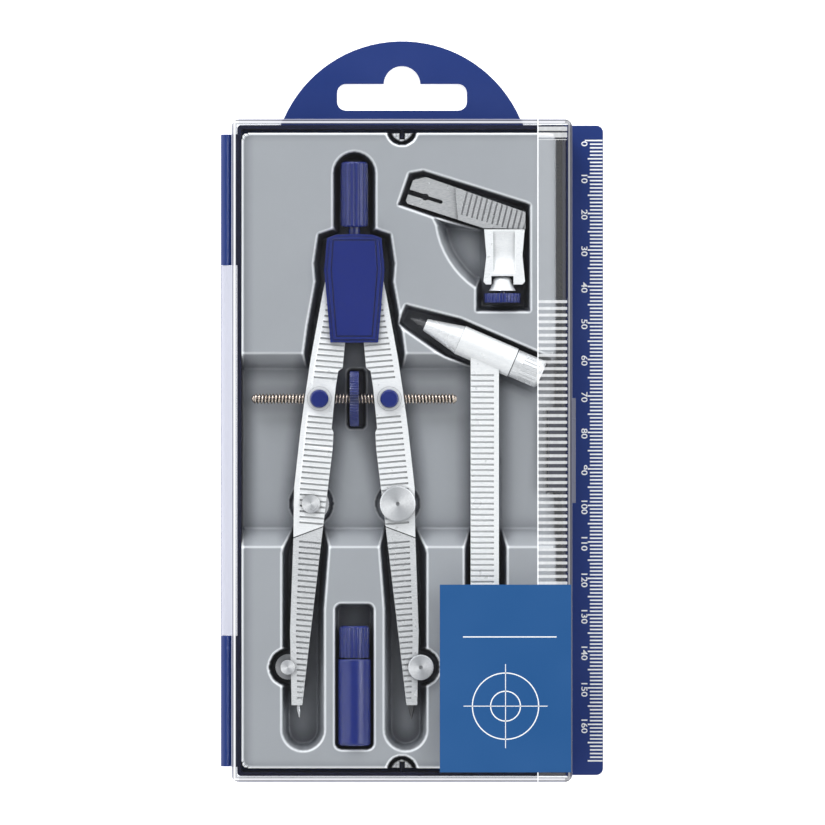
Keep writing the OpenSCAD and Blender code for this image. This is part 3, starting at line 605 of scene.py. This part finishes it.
def ruler_scale():
    """Millimetre scale along the flange's edge, 0 to 170, with a number at every centimetre."""
    last_mark = 170
    width = 0.40 * MM
    boxes = []
    for mark in range(last_mark + 1):
        length = 4.9 * MM if mark == 0 else 4.1 * MM if mark % 5 == 0 else 3.5 * MM
        y = RULER_ZERO - mark * MM
        boxes.append((RULER_EDGE - length, y - width / 2, RULER_EDGE, y + width / 2))
    printed_boxes("ruler_marks", boxes, INK, PLATE_TOP, "case")
    for number in range(0, last_mark, 10):
        curve = bpy.data.curves.new(f"ruler_number_{number}", "FONT")
        curve.body = str(number)
        curve.size = 2.9 * MM
        curve.align_x = "CENTER"
        curve.align_y = "CENTER"
        curve.extrude = INK
        curve.offset = 0.03 * MM
        text = bpy.data.objects.new(f"ruler_number_{number}", curve)
        bpy.context.scene.collection.objects.link(text)
        text.rotation_euler = (0, 0, -math.pi / 2)
        text.scale = (1.0, 0.8, 1.0)
        below = 0.9 if number == 0 else 0.3      # the numbers sit a little past their marks
        text.location = (RULER_EDGE - 5.1 * MM, RULER_ZERO - (number + below) * MM, PLATE_TOP)
        curve.materials.append(WHITE_INK)
        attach(text, "case")


ruler_scale()


def ring(name, centre, radius, width, z, body):
    """A thin raised ring of ink."""
    around = 96
    points = []
    for r in (radius - width / 2, radius + width / 2):
        for height in (z, z + INK):
            points += [(centre[0] + r * math.cos(2 * math.pi * i / around),
                        centre[1] + r * math.sin(2 * math.pi * i / around), height) for i in range(around)]
    faces = []
    for i in range(around):
        j = (i + 1) % around
        for a, b in ((0, 1), (1, 3), (3, 2), (2, 0)):
            faces.append((a * around + i, b * around + i, b * around + j, a * around + j))
    return link(name, mesh_of(name, points, faces, False), WHITE_INK, body)


def label_print():
    """Generic drawing on the sticker: a rule, and two circles with their centre lines."""
    low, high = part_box("lid_label")
    top = high[2]
    rule = 0.3 * MM
    rule_y = high[1] - 14.2 * MM
    boxes = [(low[0] + 6.3 * MM, rule_y - rule / 2, high[0] - 4 * MM, rule_y + rule / 2)]
    x, y = (low[0] + high[0]) / 2, low[1] + 18 * MM
    radius = 9 * MM
    reach = radius + 2.4 * MM      # the centre lines run on past the circle
    thin = 0.1 * MM
    boxes.append((x - reach, y - thin, x + reach, y + thin))
    boxes.append((x - thin, y - reach, x + thin, y + reach))
    marks = printed_boxes("label_rules", boxes, INK, top, "lid")
    for name, r in (("label_circle", radius), ("label_inner_circle", 0.45 * radius)):
        ring(name, (x, y), r, rule, top, "lid")


label_print()


# ---------------------------------------------------------------- finishes for the CAD nodes

soften("base_shell", 0.25, NAVY)
soften("lid", 0.22, CLEAR, 3)
soften("lid_label", 0.03, LABEL, 1)
for blue in ("compass_handle", "centre_wheel", "adapter_knob", "lead_box_cap"):
    soften(blue, 0.05, BLUE)
soften("lead_box_body", 0.3, BLUE)
soften("left_button", 0.15, BLUE)
soften("right_button", 0.15, BLUE)
soften("head_cover_front", 0.4, BLUE, 3)
soften("head_cover_back", 0.4, BLUE, 3)
for plated in ("left_upper_leg", "right_upper_leg", "beam_bar", "left_nut_block", "right_nut_block",
               "adapter_frame", "adapter_cone", "head_pins"):
    soften(plated, 0.14, NICKEL)
for shaded in ("left_lower_leg", "right_lower_leg", "beam_nose", "beam_knob"):
    soften(shaded, 0.14, SHADED_NICKEL)
soften("adapter_arm", 0.14, DEEP_SHADED_NICKEL)
for screw in ("left_knee_screw", "right_knee_screw", "left_tip_screw", "right_tip_screw"):
    soften(screw, 0.1, TURNED_NICKEL_PAINTED_FANS)
for bright in ("head_yoke", "beam_collet", "needle_point", "left_button_spring", "right_button_spring"):
    soften(bright, 0.05, STEEL, 1)
for lead in ("compass_lead", "beam_lead", "spare_leads"):
    soften(lead, 0.05, GRAPHITE, 1)


# ---------------------------------------------------------------- floor, light and camera

def studio():
    """White table under a soft tent of light, brighter at the top of the picture, dim round the camera."""
    bpy.ops.mesh.primitive_plane_add(size=4, location=(0, 0, -0.2 * MM))
    floor = bpy.context.object
    floor.name = "floor"
    mat, nodes, links, shader = new_material("floor")
    coords = nodes.new("ShaderNodeTexCoord")
    fine = noise(nodes, links, coords, 300, 2)
    white = blend_colours(nodes, links, fine.outputs["Fac"], (0.90, 0.90, 0.90), (0.93, 0.93, 0.93))
    links.new(white, shader.inputs["Base Color"])
    shader.inputs["Roughness"].default_value = 0.8
    shader.inputs["Emission Color"].default_value = (1, 1, 1, 1)
    shader.inputs["Emission Strength"].default_value = 0.7
    floor.data.materials.append(mat)
    world = bpy.data.worlds.new("studio")
    world.use_nodes = True
    nodes, links = world.node_tree.nodes, world.node_tree.links
    coords = nodes.new("ShaderNodeTexCoord")
    split = nodes.new("ShaderNodeSeparateXYZ")
    links.new(coords.outputs["Generated"], split.inputs["Vector"])
    ramp = nodes.new("ShaderNodeMapRange")
    ramp.interpolation_type = "SMOOTHSTEP"
    ramp.inputs["From Min"].default_value = -0.8
    ramp.inputs["From Max"].default_value = 0.7
    ramp.inputs["To Min"].default_value = 0.85
    ramp.inputs["To Max"].default_value = 1.60
    links.new(split.outputs["Y"], ramp.inputs["Value"])
    overhead = nodes.new("ShaderNodeMapRange")
    overhead.interpolation_type = "SMOOTHSTEP"
    overhead.inputs["From Min"].default_value = 0.80
    overhead.inputs["From Max"].default_value = 0.97
    overhead.inputs["To Min"].default_value = 1.0
    overhead.inputs["To Max"].default_value = 0.15
    links.new(split.outputs["Z"], overhead.inputs["Value"])
    links.new(maths(nodes, links, "MULTIPLY", ramp.outputs["Result"], overhead.outputs["Result"]),
              nodes["Background"].inputs["Strength"])
    nodes["Background"].inputs["Color"].default_value = (1, 1, 1, 1)
    bpy.context.scene.world = world
    for name, place, size, power in (("key", (-0.35, 0.75, 0.55), 0.35, 4),
                                     ("fill", (0.6, 0.1, 0.6), 0.4, 1.2)):
        light = bpy.data.lights.new(name, "AREA")
        light.size = size
        light.energy = power
        lamp = bpy.data.objects.new(name, light)
        lamp.location = place
        lamp.rotation_euler = (-Vector(place)).to_track_quat("-Z", "Y").to_euler()
        bpy.context.scene.collection.objects.link(lamp)
    bpy.context.scene.view_settings.view_transform = "Standard"


def camera():
    """Looks straight down from far away, with the hang tab at the top of the picture."""
    distance = 2.2
    picture = 226.1 * MM     # what the picture's width covers at the ruler's height
    sensor = 36
    lens = bpy.data.cameras.new("camera")
    lens.sensor_width = sensor
    lens.lens = sensor * (distance - PLATE_TOP) / picture
    lens.clip_end = 10
    view = bpy.data.objects.new("camera", lens)
    view.location = (2.88 * MM, 10.36 * MM, distance)
    bpy.context.scene.collection.objects.link(view)
    bpy.context.scene.camera = view


studio()
camera()
